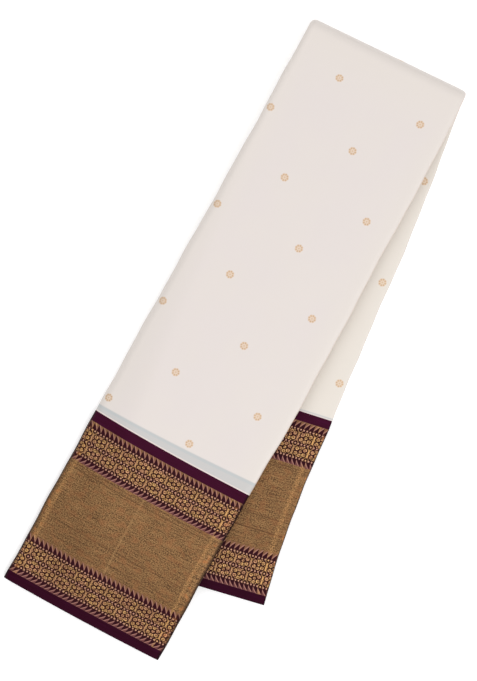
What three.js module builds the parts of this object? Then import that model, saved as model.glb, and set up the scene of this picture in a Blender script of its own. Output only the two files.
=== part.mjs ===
// A silk sari folded to a narrow strip, then in half across, and laid down flat with its two legs
// fanned out. Millimetres, +Z up. "Across" runs right and "down" runs along the upper leg to its
// selvedge, both from the left corner of the top fold.
import * as THREE from "three";

// The pressed stack
const plies = 32; // layers of cloth in each leg
const plySpace = 0.375; // height that one layer takes
const legHeight = plies * plySpace;
const legGap = 0.6; // between the facing sides of the two legs
const clothWall = 1.2; // the outer cloth that shows
const seamGap = 0.3; // between neighbouring solids

// How the layers turn at the long edges
const spineRound = 5.5; // all layers turn together at the left edge
const bundleRound = 4.5; // sixteen layers turn together at the right edge
const smallRound = 2.8; // eight layers turn at the inner face
const lobeRound = 1.4; // the four small bundles between them, as two rounds
const lobeInset = 2.6; // how far those stay back from the right edge
const lipLength = 2.5; // how far the outer cloth tucks in behind its round
const flatStations = [0.12, 0.24, 0.37, 0.5, 0.63, 0.76, 0.88]; // points across a flat face
const outerSteps = 6; // faces round an outer turn, an inner turn and a small bundle
const innerSteps = 4;
const lobeSteps = 3;

// The top fold, askew by half the angle between the legs
const foldTilt = 2.8; // degrees
const foldRight = { across: 171.5, down: 4 };
const foldWidth = 171.7;
const foldSteps = 8;
const foldReach = 26; // how far down each leg the top fold's own stretch goes

// Each leg's right edge, the tilt of its cross threads in degrees, and its width
const upperRows = [
  { down: 4, across: 171.5, tilt: 2.8, width: 171.7 },
  { down: 60, across: 174, tilt: 0.8, width: 174.1 },
  { down: 160, across: 174, tilt: 0.1, width: 174.4 },
  { down: 345, across: 175.3, tilt: 0, width: 178 },
  { down: 448.4, across: 172.5, tilt: 0, width: 175.8 },
  { down: 555, across: 171.5, tilt: 0.2, width: 175.2 },
  { down: 638.6, across: 171.5, tilt: 0.3, width: 175.3 },
];
const lowerRows = [
  { down: 4, across: 171.5, tilt: 2.8, width: 171.7 },
  { down: 60, across: 179.4, tilt: 5.2, width: 172 },
  { down: 144, across: 190.4, tilt: 5.6, width: 172 },
  { down: 253.5, across: 200.3, tilt: 7.9, width: 172 },
  { down: 345.1, across: 209.8, tilt: 10.9, width: 172 },
  { down: 446, across: 220.3, tilt: 11.5, width: 172 },
  { down: 508, across: 231.3, tilt: 12.3, width: 172 },
  { down: 538.7, across: 237.8, tilt: 12.6, width: 172 },
];

// The woven stretches below the top fold, with their lengths down each leg
const silk = { color: 0xe9e0dd, roughness: 0.55, metalness: 0 };
const maroonSilk = { color: 0x370e26, roughness: 0.5, metalness: 0 };
const brocade = { color: 0x754f3c, roughness: 0.5, metalness: 0.3 };
const goldTissue = { color: 0x85664a, roughness: 0.45, metalness: 0.5 };
const stretches = [
  { name: "body", upper: 418.4, lower: 315.1, steps: 6, look: silk },
  { name: "inner_maroon", upper: 10, lower: 8.6, steps: 1, look: maroonSilk },
  { name: "inner_flower_band", upper: 43.2, lower: 42.1, steps: 1, look: brocade },
  { name: "gold_tissue", upper: 85.8, lower: 92.5, steps: 4, look: goldTissue },
  { name: "outer_flower_band", upper: 42.9, lower: 41.9, steps: 2, look: brocade },
  { name: "selvedge", upper: 8.3, lower: 8.5, steps: 1, look: maroonSilk },
];
const ledges = [
  { back: 2.6, inset: 0 },
  { back: 1.3, inset: 0.5 },
  { back: 0.2, inset: 1 },
]; // the inner layers end in steps: how far back, and how much further in
const ledgeSlope = 0.25;

// How the upper leg sinks to the floor where the lower leg does not carry it
const sinkStart = 6; // from this far beyond the lower leg's outline
const sinkReach = 57;
const sinkDepth = legHeight + legGap;

const axisHeight = legHeight + legGap / 2;
const radians = THREE.MathUtils.degToRad;

// A leg's row at any distance down, on a smooth curve through its table
function rowAt(rows, down) {
  const last = rows.length - 2;
  const found = rows.findIndex((row, i) => i <= last && down <= rows[i + 1].down);
  const k = found < 0 ? last : found;
  const [a, b] = [rows[k], rows[k + 1]];
  const [before, after] = [rows[Math.max(k - 1, 0)], rows[Math.min(k + 2, last + 1)]];
  const t = (down - a.down) / (b.down - a.down);
  const row = { down };
  for (const column of ["across", "tilt", "width"]) {
    const slopeIn = (b[column] - before[column]) / (b.down - before.down);
    const slopeOut = (after[column] - a[column]) / (after.down - a.down);
    const span = b.down - a.down;
    row[column] =
      a[column] * (1 + 2 * t) * (1 - t) ** 2 +
      b[column] * (3 - 2 * t) * t ** 2 +
      slopeIn * span * t * (1 - t) ** 2 -
      slopeOut * span * t ** 2 * (1 - t);
  }
  return row;
}

// A section is the place of one cross line: its left corner, its direction and its outer side
function legSection(rows, outerSide, down) {
  const { across, tilt, width } = rowAt(rows, down);
  const direction = new THREE.Vector3(Math.cos(radians(tilt)), Math.sin(radians(tilt)), 0);
  const corner = new THREE.Vector3(across, -down, 0).addScaledVector(direction, -width);
  return { corner, direction, width, normal: new THREE.Vector3(0, 0, outerSide) };
}

const upperSection = (down) => ({ ...legSection(upperRows, 1, down), sinks: true });
const lowerSection = (down) => legSection(lowerRows, -1, down);

function foldSection(turn) {
  const tilt = radians(foldTilt);
  const direction = new THREE.Vector3(Math.cos(tilt), Math.sin(tilt), 0);
  const corner = new THREE.Vector3(foldRight.across, -foldRight.down, 0);
  corner.addScaledVector(direction, -foldWidth);
  const normal = new THREE.Vector3(-Math.sin(tilt), Math.cos(tilt), 0);
  normal.multiplyScalar(Math.sin(turn)).setZ(Math.cos(turn));
  return { corner, direction, width: foldWidth, normal };
}

// Stations down a leg, from one distance to another
function along(section, from, to, steps) {
  return Array.from({ length: steps + 1 }, (_, i) => section(from + ((to - from) * i) / steps));
}

function roundTheFold() {
  return Array.from({ length: foldSteps - 1 }, (_, i) =>
    foldSection((Math.PI * (i + 1)) / foldSteps),
  );
}

// How far a point of the upper leg sinks, from its distance beyond the lower leg's outline
function sink(point) {
  const end = lowerRows[lowerRows.length - 1];
  const down = THREE.MathUtils.clamp(-point.y, foldRight.down, end.down);
  const near = rowAt(lowerRows, down);
  const edgeDown = Math.max(-point.y - near.width * Math.sin(radians(near.tilt)), foldRight.down);
  const edge = rowAt(lowerRows, Math.min(edgeDown, end.down));
  const beyondEdge = edge.across - edge.width * Math.cos(radians(edge.tilt)) - point.x;
  const endTilt = radians(end.tilt);
  const beyondEnd =
    (-point.y - end.down) * Math.cos(endTilt) + (point.x - end.across) * Math.sin(endTilt);
  const outside = Math.hypot(Math.max(beyondEdge, 0), Math.max(beyondEnd, 0));
  return sinkDepth * THREE.MathUtils.smoothstep(outside, sinkStart, sinkStart + sinkReach);
}

// A point of a section: across from its left corner, and up from the leg's inner face
function placed(section, [across, height]) {
  const point = section.corner.clone().addScaledVector(section.direction, across);
  point.addScaledVector(section.normal, legGap / 2 + height);
  point.z += axisHeight;
  if (section.sinks) point.z -= sink(point);
  return point;
}

// Part of an ellipse, by its middle, its half sizes and its angles in degrees
function arc(across, height, halfWidth, halfHeight, from, to, steps) {
  return Array.from({ length: steps + 1 }, (_, i) => {
    const angle = radians(from + ((to - from) * i) / steps);
    return [across + halfWidth * Math.cos(angle), height + halfHeight * Math.sin(angle)];
  });
}

const flat = (width, height) => flatStations.map((share) => [share * width, height]);

// The outer cloth's outline: round the small bundle, along the inner face, round the spine,
// along the outer face, round the large bundle, and back one wall further in
function sleeveOutline(width) {
  const quarter = legHeight / 4;
  const bundle = width - bundleRound;
  const small = width - smallRound;
  const innerBundle = [bundleRound - clothWall, quarter - clothWall];
  const innerSpine = [spineRound - clothWall, legHeight / 2 - clothWall];
  return [
    ...arc(small, quarter / 2, smallRound, quarter / 2, 90, -90, innerSteps),
    ...flat(width, 0).reverse(),
    ...arc(spineRound, legHeight / 2, spineRound, legHeight / 2, 270, 90, outerSteps),
    ...flat(width, legHeight),
    ...arc(bundle, 3 * quarter, bundleRound, quarter, 90, -90, outerSteps),
    [bundle - lipLength, legHeight / 2],
    [bundle - lipLength, legHeight / 2 + clothWall],
    ...arc(bundle, 3 * quarter, ...innerBundle, -90, 90, innerSteps),
    ...flat(width, legHeight - clothWall).reverse(),
    ...arc(spineRound, legHeight / 2, ...innerSpine, 90, 270, innerSteps),
    ...flat(width, clothWall),
    [small - lipLength, clothWall],
    [small - lipLength, quarter],
  ];
}

// The hidden layers' outline, inside the outer cloth, with the small bundles at the right edge
function coreOutline(width, furtherIn = 0) {
  const quarter = legHeight / 4;
  const inset = clothWall + seamGap + furtherIn;
  const clear = seamGap + furtherIn;
  const bundle = width - bundleRound;
  const innerNeck = width - smallRound - lipLength - clear;
  const outerNeck = bundle - lipLength - clear;
  const lobe = width - lobeInset;
  const lobeHeight = (quarter - 2 * clear) / 4;
  const lobeLow = quarter + clear + lobeHeight;
  const spine = [spineRound - inset, legHeight / 2 - inset];
  const tongue = [bundleRound - inset, quarter - inset];
  return [
    [innerNeck, inset],
    ...flat(width, inset).reverse(),
    ...arc(spineRound, legHeight / 2, ...spine, 270, 90, innerSteps),
    ...flat(width, legHeight - inset),
    ...arc(bundle, 3 * quarter, ...tongue, 90, -90, innerSteps),
    [outerNeck, legHeight / 2 + inset],
    [outerNeck, legHeight / 2 - clear],
    ...arc(lobe, lobeLow + 2 * lobeHeight, lobeRound, lobeHeight, 90, -90, lobeSteps),
    ...arc(lobe, lobeLow, lobeRound, lobeHeight, 90, -90, lobeSteps).slice(1),
    [innerNeck, quarter + clear],
  ];
}

// One closed solid through a row of rings, with an end face at each end. Each end ring stands
// upright, and its outer side is up or down.
function solidThrough(rings, firstSide, lastSide) {
  const size = rings[0].length;
  const corners = [];
  const triangle = (a, b, c) => corners.push(a, b, c);
  for (let k = 0; k + 1 < rings.length; k += 1) {
    for (let i = 0; i < size; i += 1) {
      const j = (i + 1) % size;
      triangle(rings[k][i], rings[k + 1][i], rings[k + 1][j]);
      triangle(rings[k][i], rings[k + 1][j], rings[k][j]);
    }
  }
  const endFace = (ring, outerSide, turned) => {
    const flatOutline = ring.map(({ x, z }) => new THREE.Vector2(x, z * outerSide));
    for (const [a, b, c] of THREE.ShapeUtils.triangulateShape(flatOutline, [])) {
      if (turned) triangle(ring[a], ring[c], ring[b]);
      else triangle(ring[a], ring[b], ring[c]);
    }
  };
  endFace(rings[0], firstSide, true);
  endFace(rings[rings.length - 1], lastSide, false);
  return facingOut(corners);
}

function facingOut(corners) {
  let volume = 0;
  for (let i = 0; i < corners.length; i += 3) {
    volume += corners[i].dot(corners[i + 1].clone().cross(corners[i + 2]));
  }
  if (volume < 0) corners.reverse();
  const geometry = new THREE.BufferGeometry().setFromPoints(corners);
  geometry.computeVertexNormals();
  return geometry;
}

function sleeve(name, look, sections) {
  const rings = sections.map((section) =>
    sleeveOutline(section.width).map((point) => placed(section, point)),
  );
  const [firstSide, lastSide] = [sections[0], sections.at(-1)].map(({ normal }) => normal.z);
  const mesh = new THREE.Mesh(solidThrough(rings, firstSide, lastSide), material(look));
  mesh.name = name;
  return mesh;
}

function material(look) {
  return new THREE.MeshStandardMaterial({ ...look, side: THREE.FrontSide });
}

// The stretches of one leg below the top fold, each clear of the next by a seam
function legStretches(leg, section) {
  let down = foldRight.down + foldReach;
  return stretches.map(({ name, steps, look, ...lengths }) => {
    const from = down;
    down += lengths[leg];
    const last = name === "selvedge" ? 0 : seamGap / 2;
    const sections = along(section, from + seamGap / 2, down - last, steps);
    return sleeve(`${leg}_${name}`, look, sections);
  });
}

function topFold() {
  const from = foldRight.down + foldReach - seamGap / 2;
  const sections = [
    ...along(upperSection, from, foldRight.down, 1),
    ...roundTheFold(),
    ...along(lowerSection, foldRight.down, from, 1),
  ];
  return sleeve("top_fold", silk, sections);
}

// The stations of the hidden layers down one leg: those of its stretches, then the ledges
function coreRings(leg, section) {
  const ring = (down, furtherIn = 0) => {
    const at = section(down);
    return coreOutline(at.width, furtherIn).map((point) => placed(at, point));
  };
  let down = foldRight.down + foldReach;
  const rings = [ring(foldRight.down), ring(down)];
  const end = down + stretches.reduce((total, stretch) => total + stretch[leg], 0);
  for (const stretch of stretches.slice(0, -1)) {
    for (let i = 1; i <= stretch.steps; i += 1) {
      rings.push(ring(down + (stretch[leg] * i) / stretch.steps));
    }
    down += stretch[leg];
  }
  ledges.forEach(({ back, inset }, i) => {
    if (i > 0) rings.push(ring(end - ledges[i - 1].back + ledgeSlope, inset));
    rings.push(ring(end - back, inset));
  });
  return rings;
}

function innerLayers() {
  const upper = coreRings("upper", upperSection).reverse();
  const turn = roundTheFold().map((section) =>
    coreOutline(section.width).map((point) => placed(section, point)),
  );
  const rings = [...upper, ...turn, ...coreRings("lower", lowerSection)];
  const mesh = new THREE.Mesh(solidThrough(rings, 1, -1), material(silk));
  mesh.name = "inner_layers";
  return mesh;
}

const sari = new THREE.Group();
sari.add(innerLayers(), topFold());
sari.add(...legStretches("upper", upperSection), ...legStretches("lower", lowerSection));

// The origin is the middle of the sari's box, on the floor
const middle = new THREE.Box3().setFromObject(sari).getCenter(new THREE.Vector3());
sari.position.set(-middle.x, -middle.y, 0);

export default sari;
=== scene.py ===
# Folded silk sari: fine cloth, woven patterns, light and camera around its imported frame.
import math

import bpy
import numpy as np
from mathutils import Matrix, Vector


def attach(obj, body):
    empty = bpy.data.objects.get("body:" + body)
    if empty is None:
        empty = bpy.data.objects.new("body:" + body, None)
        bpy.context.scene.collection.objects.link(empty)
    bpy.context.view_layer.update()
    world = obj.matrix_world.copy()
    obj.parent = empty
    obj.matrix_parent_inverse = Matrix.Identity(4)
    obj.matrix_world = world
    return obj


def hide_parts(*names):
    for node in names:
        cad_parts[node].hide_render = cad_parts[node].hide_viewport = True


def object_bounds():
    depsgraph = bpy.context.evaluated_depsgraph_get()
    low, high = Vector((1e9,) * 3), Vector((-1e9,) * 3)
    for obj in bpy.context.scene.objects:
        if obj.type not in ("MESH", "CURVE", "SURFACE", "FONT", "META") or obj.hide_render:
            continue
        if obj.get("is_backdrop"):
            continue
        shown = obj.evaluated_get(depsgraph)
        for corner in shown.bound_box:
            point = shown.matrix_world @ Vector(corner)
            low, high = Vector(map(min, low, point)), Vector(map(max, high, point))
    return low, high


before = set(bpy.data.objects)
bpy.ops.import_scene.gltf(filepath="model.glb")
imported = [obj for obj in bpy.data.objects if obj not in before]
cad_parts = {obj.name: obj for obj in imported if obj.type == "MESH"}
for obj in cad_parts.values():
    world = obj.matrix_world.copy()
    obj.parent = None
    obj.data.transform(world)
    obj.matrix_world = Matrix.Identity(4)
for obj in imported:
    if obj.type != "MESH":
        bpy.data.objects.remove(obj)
cadLow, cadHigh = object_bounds()
bpy.ops.object.select_all(action="DESELECT")
print("frame loaded:", len(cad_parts), "solids")

mm = 0.001

# Everything below is in millimetres until it is placed. "Across" runs to the right and "down"
# runs down a leg, both from the left corner of the top fold.
stack = {
    "plies": 32,
    "width": 172.0,  # the folded strip
    "legHeight": 12.0,  # one leg's pressed layers
    "legGap": 0.6,  # between the facing sides of the legs
    "shell": 0.45,  # the outer cloth as modelled
    "flatStep": 4.0,  # spacing of points across a flat face
    "rowStep": 4.0,  # spacing of rows down a leg
}

# How far the cloth takes to roll over at its long edges, at the fold, on the body, in the border
edgeRoll = {
    "down": [4, 60, 440, 500, 640],
    "spine": [6.0, 7.5, 8.0, 11.0, 10.5],  # all layers, at the left edge
    "bundle": [5.0, 6.5, 7.0, 9.5, 9.0],  # sixteen layers, at the right edge
    "small": 2.8,  # eight layers at the inner face
    "lip": 3.0,  # how far the outer cloth tucks in behind its roll
    "lowerScale": 1.18,  # the lower leg is shorter, so its border starts sooner
}

foldLine = {"across": 171.5, "down": 4.0, "tilt": 2.8, "width": 171.7, "steps": 26, "reach": 26.0}


# the lines across a leg that its form runs through: down, the right end's across, tilt, width
def crossLines(*rows):
    return [dict(zip(("down", "across", "tilt", "width"), row)) for row in rows]


upperLeg = {
    "name": "upper",
    "side": 1,
    "rows": crossLines(
        (4.0, 171.5, 2.8, 171.7),
        (60.0, 174.0, 0.8, 174.1),
        (160.0, 174.0, 0.1, 174.4),
        (345.0, 175.3, 0.0, 178.0),
        (448.4, 172.5, 0.0, 175.8),
        (555.0, 171.5, 0.2, 175.2),
        (638.6, 171.5, 0.3, 175.3),
    ),
    # the cross lines bow down in the middle of the leg, and at its right side
    "bow": {"down": [60, 300, 448, 500, 570, 628, 639], "depth": [0.0, 0.8, 1.5, 1.3, 0.6, 0.35, 1.1]},
    "skew": {"down": [300, 448, 500, 560], "depth": [0.0, 1.1, 0.8, 0.0]},
    # the long edges waver: amplitude, wave length and phase
    "wavesLeft": [(0.30, 96, 0.4), (0.16, 41, 2.0)],
    "wavesRight": [(0.34, 118, 1.1), (0.18, 47, 0.2)],
}

lowerLeg = {
    "name": "lower",
    "side": -1,
    "rows": crossLines(
        (4.0, 171.5, 2.8, 171.7),
        (60.0, 179.4, 5.2, 172.0),
        (144.0, 190.4, 5.6, 172.0),
        (253.5, 200.3, 7.9, 172.0),
        (345.1, 209.8, 10.9, 172.0),
        (446.0, 220.3, 11.5, 172.0),
        (508.0, 231.3, 12.3, 172.0),
        (539.45, 237.9, 12.1, 172.0),
    ),
    "wavesLeft": [(0.25, 104, 0.9), (0.14, 45, 1.4)],
    "wavesRight": [(0.30, 92, 2.3), (0.16, 39, 0.7)],
}

# The woven stretches of each leg, in order down from the top fold
stretchTable = [
    {"name": "body", "upper": 418.4, "lower": 315.1, "finish": "silk"},
    {"name": "inner_maroon", "upper": 10.6, "lower": 9.2, "finish": "maroon"},
    {"name": "inner_flower_band", "upper": 42.2, "lower": 43.9, "woven": (0.6, 43.0), "finish": "flowers"},
    {"name": "gold_tissue", "upper": 85.05, "lower": 89.4, "finish": "tissue"},
    {"name": "outer_flower_band", "upper": 42.9, "lower": 42.85, "woven": (0.0, 43.0), "finish": "flowers"},
    {"name": "selvedge", "upper": 9.45, "lower": 9.0, "finish": "maroon"},
]

# How the upper leg sinks to the floor where the lower leg does not carry it
sinkForm = {"start": 6.0, "reach": 57.0, "depth": stack["legHeight"] + stack["legGap"]}


# The form of the folded cloth


# a smooth curve through a leg's cross lines
def rowAt(rows, down):
    k = next((i for i in range(len(rows) - 1) if down <= rows[i + 1]["down"]), len(rows) - 2)
    a, b = rows[k], rows[k + 1]
    before, after = rows[max(k - 1, 0)], rows[min(k + 2, len(rows) - 1)]
    span = b["down"] - a["down"]
    t = (down - a["down"]) / span
    row = {"down": down}
    for column in ("across", "tilt", "width"):
        slopeIn = (b[column] - before[column]) / (b["down"] - before["down"])
        slopeOut = (after[column] - a[column]) / (after["down"] - a["down"])
        row[column] = (
            a[column] * (1 + 2 * t) * (1 - t) ** 2
            + b[column] * (3 - 2 * t) * t**2
            + slopeIn * span * t * (1 - t) ** 2
            - slopeOut * span * t**2 * (1 - t)
        )
    return row


def waver(waves, down):
    calm = min(1.0, max(0.0, (down - 4.0) / 40.0))
    return calm * sum(size * math.sin(2 * math.pi * down / length + phase) for size, length, phase in waves)


# the place of one cross line of a leg
def legSection(leg, down, clothDown):
    row = rowAt(leg["rows"], down)
    tilt = math.radians(row["tilt"])
    direction = np.array([math.cos(tilt), math.sin(tilt), 0.0])
    left, right = waver(leg["wavesLeft"], down), waver(leg["wavesRight"], down)
    return {
        "corner": np.array([row["across"], -down, 0.0]) - direction * (row["width"] - left),
        "direction": direction,
        "width": row["width"] - left + right,
        "normal": np.array([0.0, 0.0, leg["side"]]),
        "leg": leg,
        "down": down,
        "clothDown": clothDown,
    }


def legSections(leg, start, end, clothStart, clothEnd):
    steps = max(2, round((end - start) / stack["rowStep"]))
    return [
        legSection(leg, start + (end - start) * i / steps, clothStart + (clothEnd - clothStart) * i / steps)
        for i in range(steps + 1)
    ]


def foldSection(turn):
    tilt = math.radians(foldLine["tilt"])
    direction = np.array([math.cos(tilt), math.sin(tilt), 0.0])
    outward = np.array([-math.sin(tilt), math.cos(tilt), 0.0])
    return {
        "corner": np.array([foldLine["across"], -foldLine["down"], 0.0]) - direction * foldLine["width"],
        "direction": direction,
        "width": foldLine["width"],
        "normal": outward * math.sin(turn) + np.array([0.0, 0.0, math.cos(turn)]),
        "leg": None,
        "down": foldLine["down"],
        "clothDown": foldLine["down"] - (stack["legHeight"] + stack["legGap"] / 2) * turn,
    }


def smoothStep(x, low, high):
    t = np.clip((x - low) / (high - low), 0.0, 1.0)
    return t * t * (3 - 2 * t)


# the lower leg's left edge, and its end
lowerEnd = lowerLeg["rows"][-1]
edgeRows = [rowAt(lowerLeg["rows"], down) for down in np.linspace(foldLine["down"], lowerEnd["down"], 60)]
edgeAcross = np.array([r["across"] - r["width"] * math.cos(math.radians(r["tilt"])) for r in edgeRows])
edgeDown = np.array([r["down"] + r["width"] * math.sin(math.radians(r["tilt"])) for r in edgeRows])


# how far points of the upper leg sink, from their distance beyond the lower leg's outline
def sinkOf(points):
    down = -points[:, 1]
    beyondEdge = np.interp(down, edgeDown, edgeAcross) - points[:, 0]
    tilt = math.radians(lowerEnd["tilt"])
    pastDown, pastAcross = down - lowerEnd["down"], points[:, 0] - lowerEnd["across"]
    beyondEnd = pastDown * math.cos(tilt) + pastAcross * math.sin(tilt)
    outside = np.hypot(np.maximum(beyondEdge, 0), np.maximum(beyondEnd, 0))
    return sinkForm["depth"] * smoothStep(outside, sinkForm["start"], sinkForm["start"] + sinkForm["reach"])


# Creases and soft swells on the upper face: their two ends, breadth and height
upperCreases = [
    ((85, 462), (86, 588), 1.5, 0.35),
    ((86, 30), (86.5, 452), 2.4, 0.10),
    ((86, 592), (86, 636), 1.6, 0.16),
    ((2, 449), (110, 451), 3.0, -0.22),
    ((108, 450), (174, 448), 3.6, -0.28),
    ((14, 9), (66, 17), 5.0, -0.30),
    ((96, 6), (160, 12), 6.0, -0.34),
    ((30, 26), (120, 33), 9.0, 0.22),
    ((150, 60), (166, 150), 7.0, -0.26),
    ((12, 120), (22, 236), 8.0, -0.24),
    ((158, 230), (168, 330), 6.0, 0.24),
    ((60, 190), (128, 262), 16.0, 0.20),
    ((24, 330), (70, 410), 14.0, -0.22),
    ((110, 360), (160, 432), 12.0, 0.24),
    ((128, 500), (146, 580), 10.0, -0.22),
    ((30, 510), (44, 600), 12.0, 0.22),
    ((8, 604), (80, 618), 8.0, -0.18),
]
# and on the lower leg's upper side, where it fans out
lowerCreases = [
    ((150, 60), (160, 220), 8.0, 0.14),
    ((128, 250), (150, 330), 7.0, -0.24),
    ((120, 347), (170, 346), 3.0, -0.20),
    ((140, 370), (152, 500), 9.0, -0.20),
    ((112, 470), (128, 532), 7.0, 0.14),
]


def creaseHeight(creases, across, down):
    total = np.zeros(len(across))
    for start, end, breadth, height in creases:
        run = np.array(end, float) - np.array(start, float)
        length = np.linalg.norm(run)
        run = run / length
        alongIt = (across - start[0]) * run[0] + (down - start[1]) * run[1]
        offIt = (across - start[0]) * run[1] - (down - start[1]) * run[0]
        taper = min(length * 0.35, 30.0)
        fadeIn = smoothStep(alongIt, -taper * 0.3, taper)
        fadeOut = 1 - smoothStep(alongIt, length - taper, length + taper * 0.3)
        total += height * fadeIn * fadeOut * np.exp(-((offIt / breadth) ** 2))
    return total


def slowSwell(across, down, size):
    return size * (
        0.5 * np.sin(across / 23.0 + 0.013 * down)
        + 0.3 * np.sin(down / 31.0 + across / 57.0 + 1.3)
        + 0.2 * np.sin((across + down) / 17.0 + 0.5)
    )


# points of a section: across from its left corner, and up from the leg's inner face
def placed(section, across, height):
    leg, width, full = section["leg"], section["width"], stack["legHeight"]
    down = np.full(len(across), section["down"])
    lift = np.zeros(len(across))
    if leg is upperLeg:
        inside = smoothStep(across, 3.0, 16.0) * (1 - smoothStep(across, width - 16.0, width - 3.0))
        form = creaseHeight(upperCreases, across, down) + inside * slowSwell(across, down, 0.16)
        lift = smoothStep(height / full, 0.75, 1.0) * form
    elif leg is lowerLeg:
        lift = (smoothStep(height / full, 0.0, 0.25) - 1) * creaseHeight(lowerCreases, across, down)
    rise = stack["legGap"] / 2 + height + lift
    points = section["corner"] + section["direction"] * across[:, None] + section["normal"] * rise[:, None]
    points[:, 2] += full + stack["legGap"] / 2
    if leg is upperLeg:
        bow, skew = (np.interp(section["down"], leg[k]["down"], leg[k]["depth"]) for k in ("bow", "skew"))
        share = np.clip(across / width, 0, 1)
        points[:, 1] -= bow * np.sin(math.pi * share) + skew * share
        points[:, 2] -= sinkOf(points)
    return points


# the upper leg's left end corner lies in the corner of the frame's box
plainEnd = upperLeg["rows"][-1]
endTilt = math.radians(plainEnd["tilt"])
frameShift = np.array([
    cadLow.x / mm - plainEnd["across"] + plainEnd["width"] * math.cos(endTilt),
    cadLow.y / mm + plainEnd["down"] + plainEnd["width"] * math.sin(endTilt),
    0.0,
])


def arc(across, height, halfWidth, halfHeight, start, end, steps):
    angle = np.radians(np.linspace(start, end, steps + 1))
    return np.column_stack([across + halfWidth * np.cos(angle), height + halfHeight * np.sin(angle)])


def flat(start, end, height):
    steps = max(2, round(stack["width"] / stack["flatStep"]))
    return np.column_stack([np.linspace(start, end, steps + 1)[1:-1], np.full(steps - 1, height)])


def rollsOf(section):
    down = section["down"] * (edgeRoll["lowerScale"] if section["leg"] is lowerLeg else 1.0)
    return [float(np.interp(down, edgeRoll["down"], edgeRoll[k])) for k in ("spine", "bundle")]


# the outer cloth round a leg, from its tuck at the inner face to its tuck at mid height
def sleeveOutline(section):
    full, width = stack["legHeight"], section["width"]
    quarter, lip = full / 4, edgeRoll["lip"]
    spineRoll, bundleRoll = rollsOf(section)
    small, bundle = width - edgeRoll["small"], width - bundleRoll
    pieces = [
        np.array([(small - lip, quarter - 0.15), (small - lip / 2, quarter - 0.08)]),
        arc(small, quarter / 2, edgeRoll["small"], quarter / 2, 90, -90, 8),
        flat(small, spineRoll, 0.0),
        arc(spineRoll, full / 2, spineRoll, full / 2, 270, 90, 20),
        flat(spineRoll, bundle, full),
        arc(bundle, 3 * quarter, bundleRoll, quarter, 90, -90, 16),
        np.array([(bundle - lip / 2, full / 2 + 0.08), (bundle - lip, full / 2 + 0.15)]),
    ]
    # how far round its roll each point is, from 0 where the roll starts to 1 at its outermost
    edge = [np.zeros(len(piece)) for piece in pieces]
    edge[1] = (pieces[1][:, 0] - small) / edgeRoll["small"]
    edge[3] = (1 - pieces[3][:, 0] / spineRoll) ** 2
    edge[5] = (pieces[5][:, 0] - bundle) / bundleRoll
    outline = np.vstack(pieces)
    along = np.concatenate([[0], np.cumsum(np.linalg.norm(np.diff(outline, axis=0), axis=1))])
    middle = sum(len(piece) for piece in pieces[:4]) + len(pieces[4]) // 2  # on the outer face
    along += outline[middle, 0] - along[middle]
    return outline, along, middle, np.concatenate(edge)


# the hidden layers' outline, with the small bundles and two loose edges at the right
coreForm = {"inset": 1.5, "slit": 8.5, "neck": 0.4, "short": 18.0}  # short: it stops before the cut ends


def coreOutline(section):
    full, width, inset = stack["legHeight"], section["width"], coreForm["inset"]
    quarter, lip = full / 4, edgeRoll["lip"] + coreForm["neck"]
    spineRoll, bundleRoll = rollsOf(section)
    bundle = width - bundleRoll
    innerNeck, outerNeck = width - edgeRoll["small"] - lip, bundle - lip
    slit = width - coreForm["slit"]
    return np.vstack([
        [(innerNeck, inset)],
        flat(innerNeck, spineRoll, inset)[::2],
        arc(spineRoll, full / 2, spineRoll - inset, full / 2 - inset, 270, 90, 10),
        flat(spineRoll, bundle, full - inset)[::2],
        arc(bundle, 3 * quarter, bundleRoll - inset, quarter - inset, 90, -90, 8),
        [(outerNeck, full / 2 + inset), (outerNeck, 5.9), (slit, 5.9)],
        arc(width - 2.6, 5.2, 1.4, 0.66, 90, -90, 6),  # four layers
        [(slit, 4.5)],
        [(width - 2.5, 4.46), (width - 2.3, 4.32), (width - 2.5, 4.18), (slit, 4.15)],  # a loose edge
        [(width - 3.5, 4.05), (width - 3.3, 3.91), (width - 3.5, 3.77), (slit, 3.74)],  # another
        arc(width - 2.2, 3.38, 0.9, 0.30, 90, -90, 5),  # two layers
        [(slit, 3.08), (innerNeck, 3.08)],
    ])


# faces between neighbouring rows of points, one for each pair of neighbouring columns
def gridFaces(rows, columns, pairs):
    return [
        (i * columns + a, i * columns + b, (i + 1) * columns + b, (i + 1) * columns + a)
        for i in range(rows - 1)
        for a, b in pairs
    ]


def meshObject(name, points, cloth, faces, faceMaterials, materials, edge=None):
    mesh = bpy.data.meshes.new(name)
    mesh.from_pydata([tuple(p) for p in (points + frameShift) * mm], [], faces)
    corners = np.empty(len(mesh.loops), dtype=int)
    mesh.loops.foreach_get("vertex_index", corners)
    edge = np.zeros(len(points)) if edge is None else edge
    for label, values in (("cloth", cloth * mm), ("edge", np.column_stack([edge, edge]))):
        layer = mesh.uv_layers.new(name=label)
        layer.data.foreach_set("uv", values[corners].astype(np.float32).ravel())
    for material in materials:
        mesh.materials.append(material)
    mesh.polygons.foreach_set("material_index", np.array(faceMaterials, dtype=np.int32))
    mesh.polygons.foreach_set("use_smooth", np.ones(len(faces), dtype=bool))
    mesh.update()
    piece = bpy.data.objects.new(name, mesh)
    bpy.context.scene.collection.objects.link(piece)
    return piece


def choose(piece):
    bpy.ops.object.select_all(action="DESELECT")
    piece.select_set(True)
    bpy.context.view_layer.objects.active = piece


# gives a surface its thickness, and sharp edges where it turns by more than an angle
def thicken(piece, thickness, offset, sharpFrom):
    choose(piece)
    modifier = piece.modifiers.new("thickness", "SOLIDIFY")
    modifier.thickness = thickness * mm
    modifier.offset = offset
    modifier.use_even_offset = False
    bpy.ops.object.modifier_apply(modifier=modifier.name)
    bpy.ops.object.shade_smooth_by_angle(angle=math.radians(sharpFrom))


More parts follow.
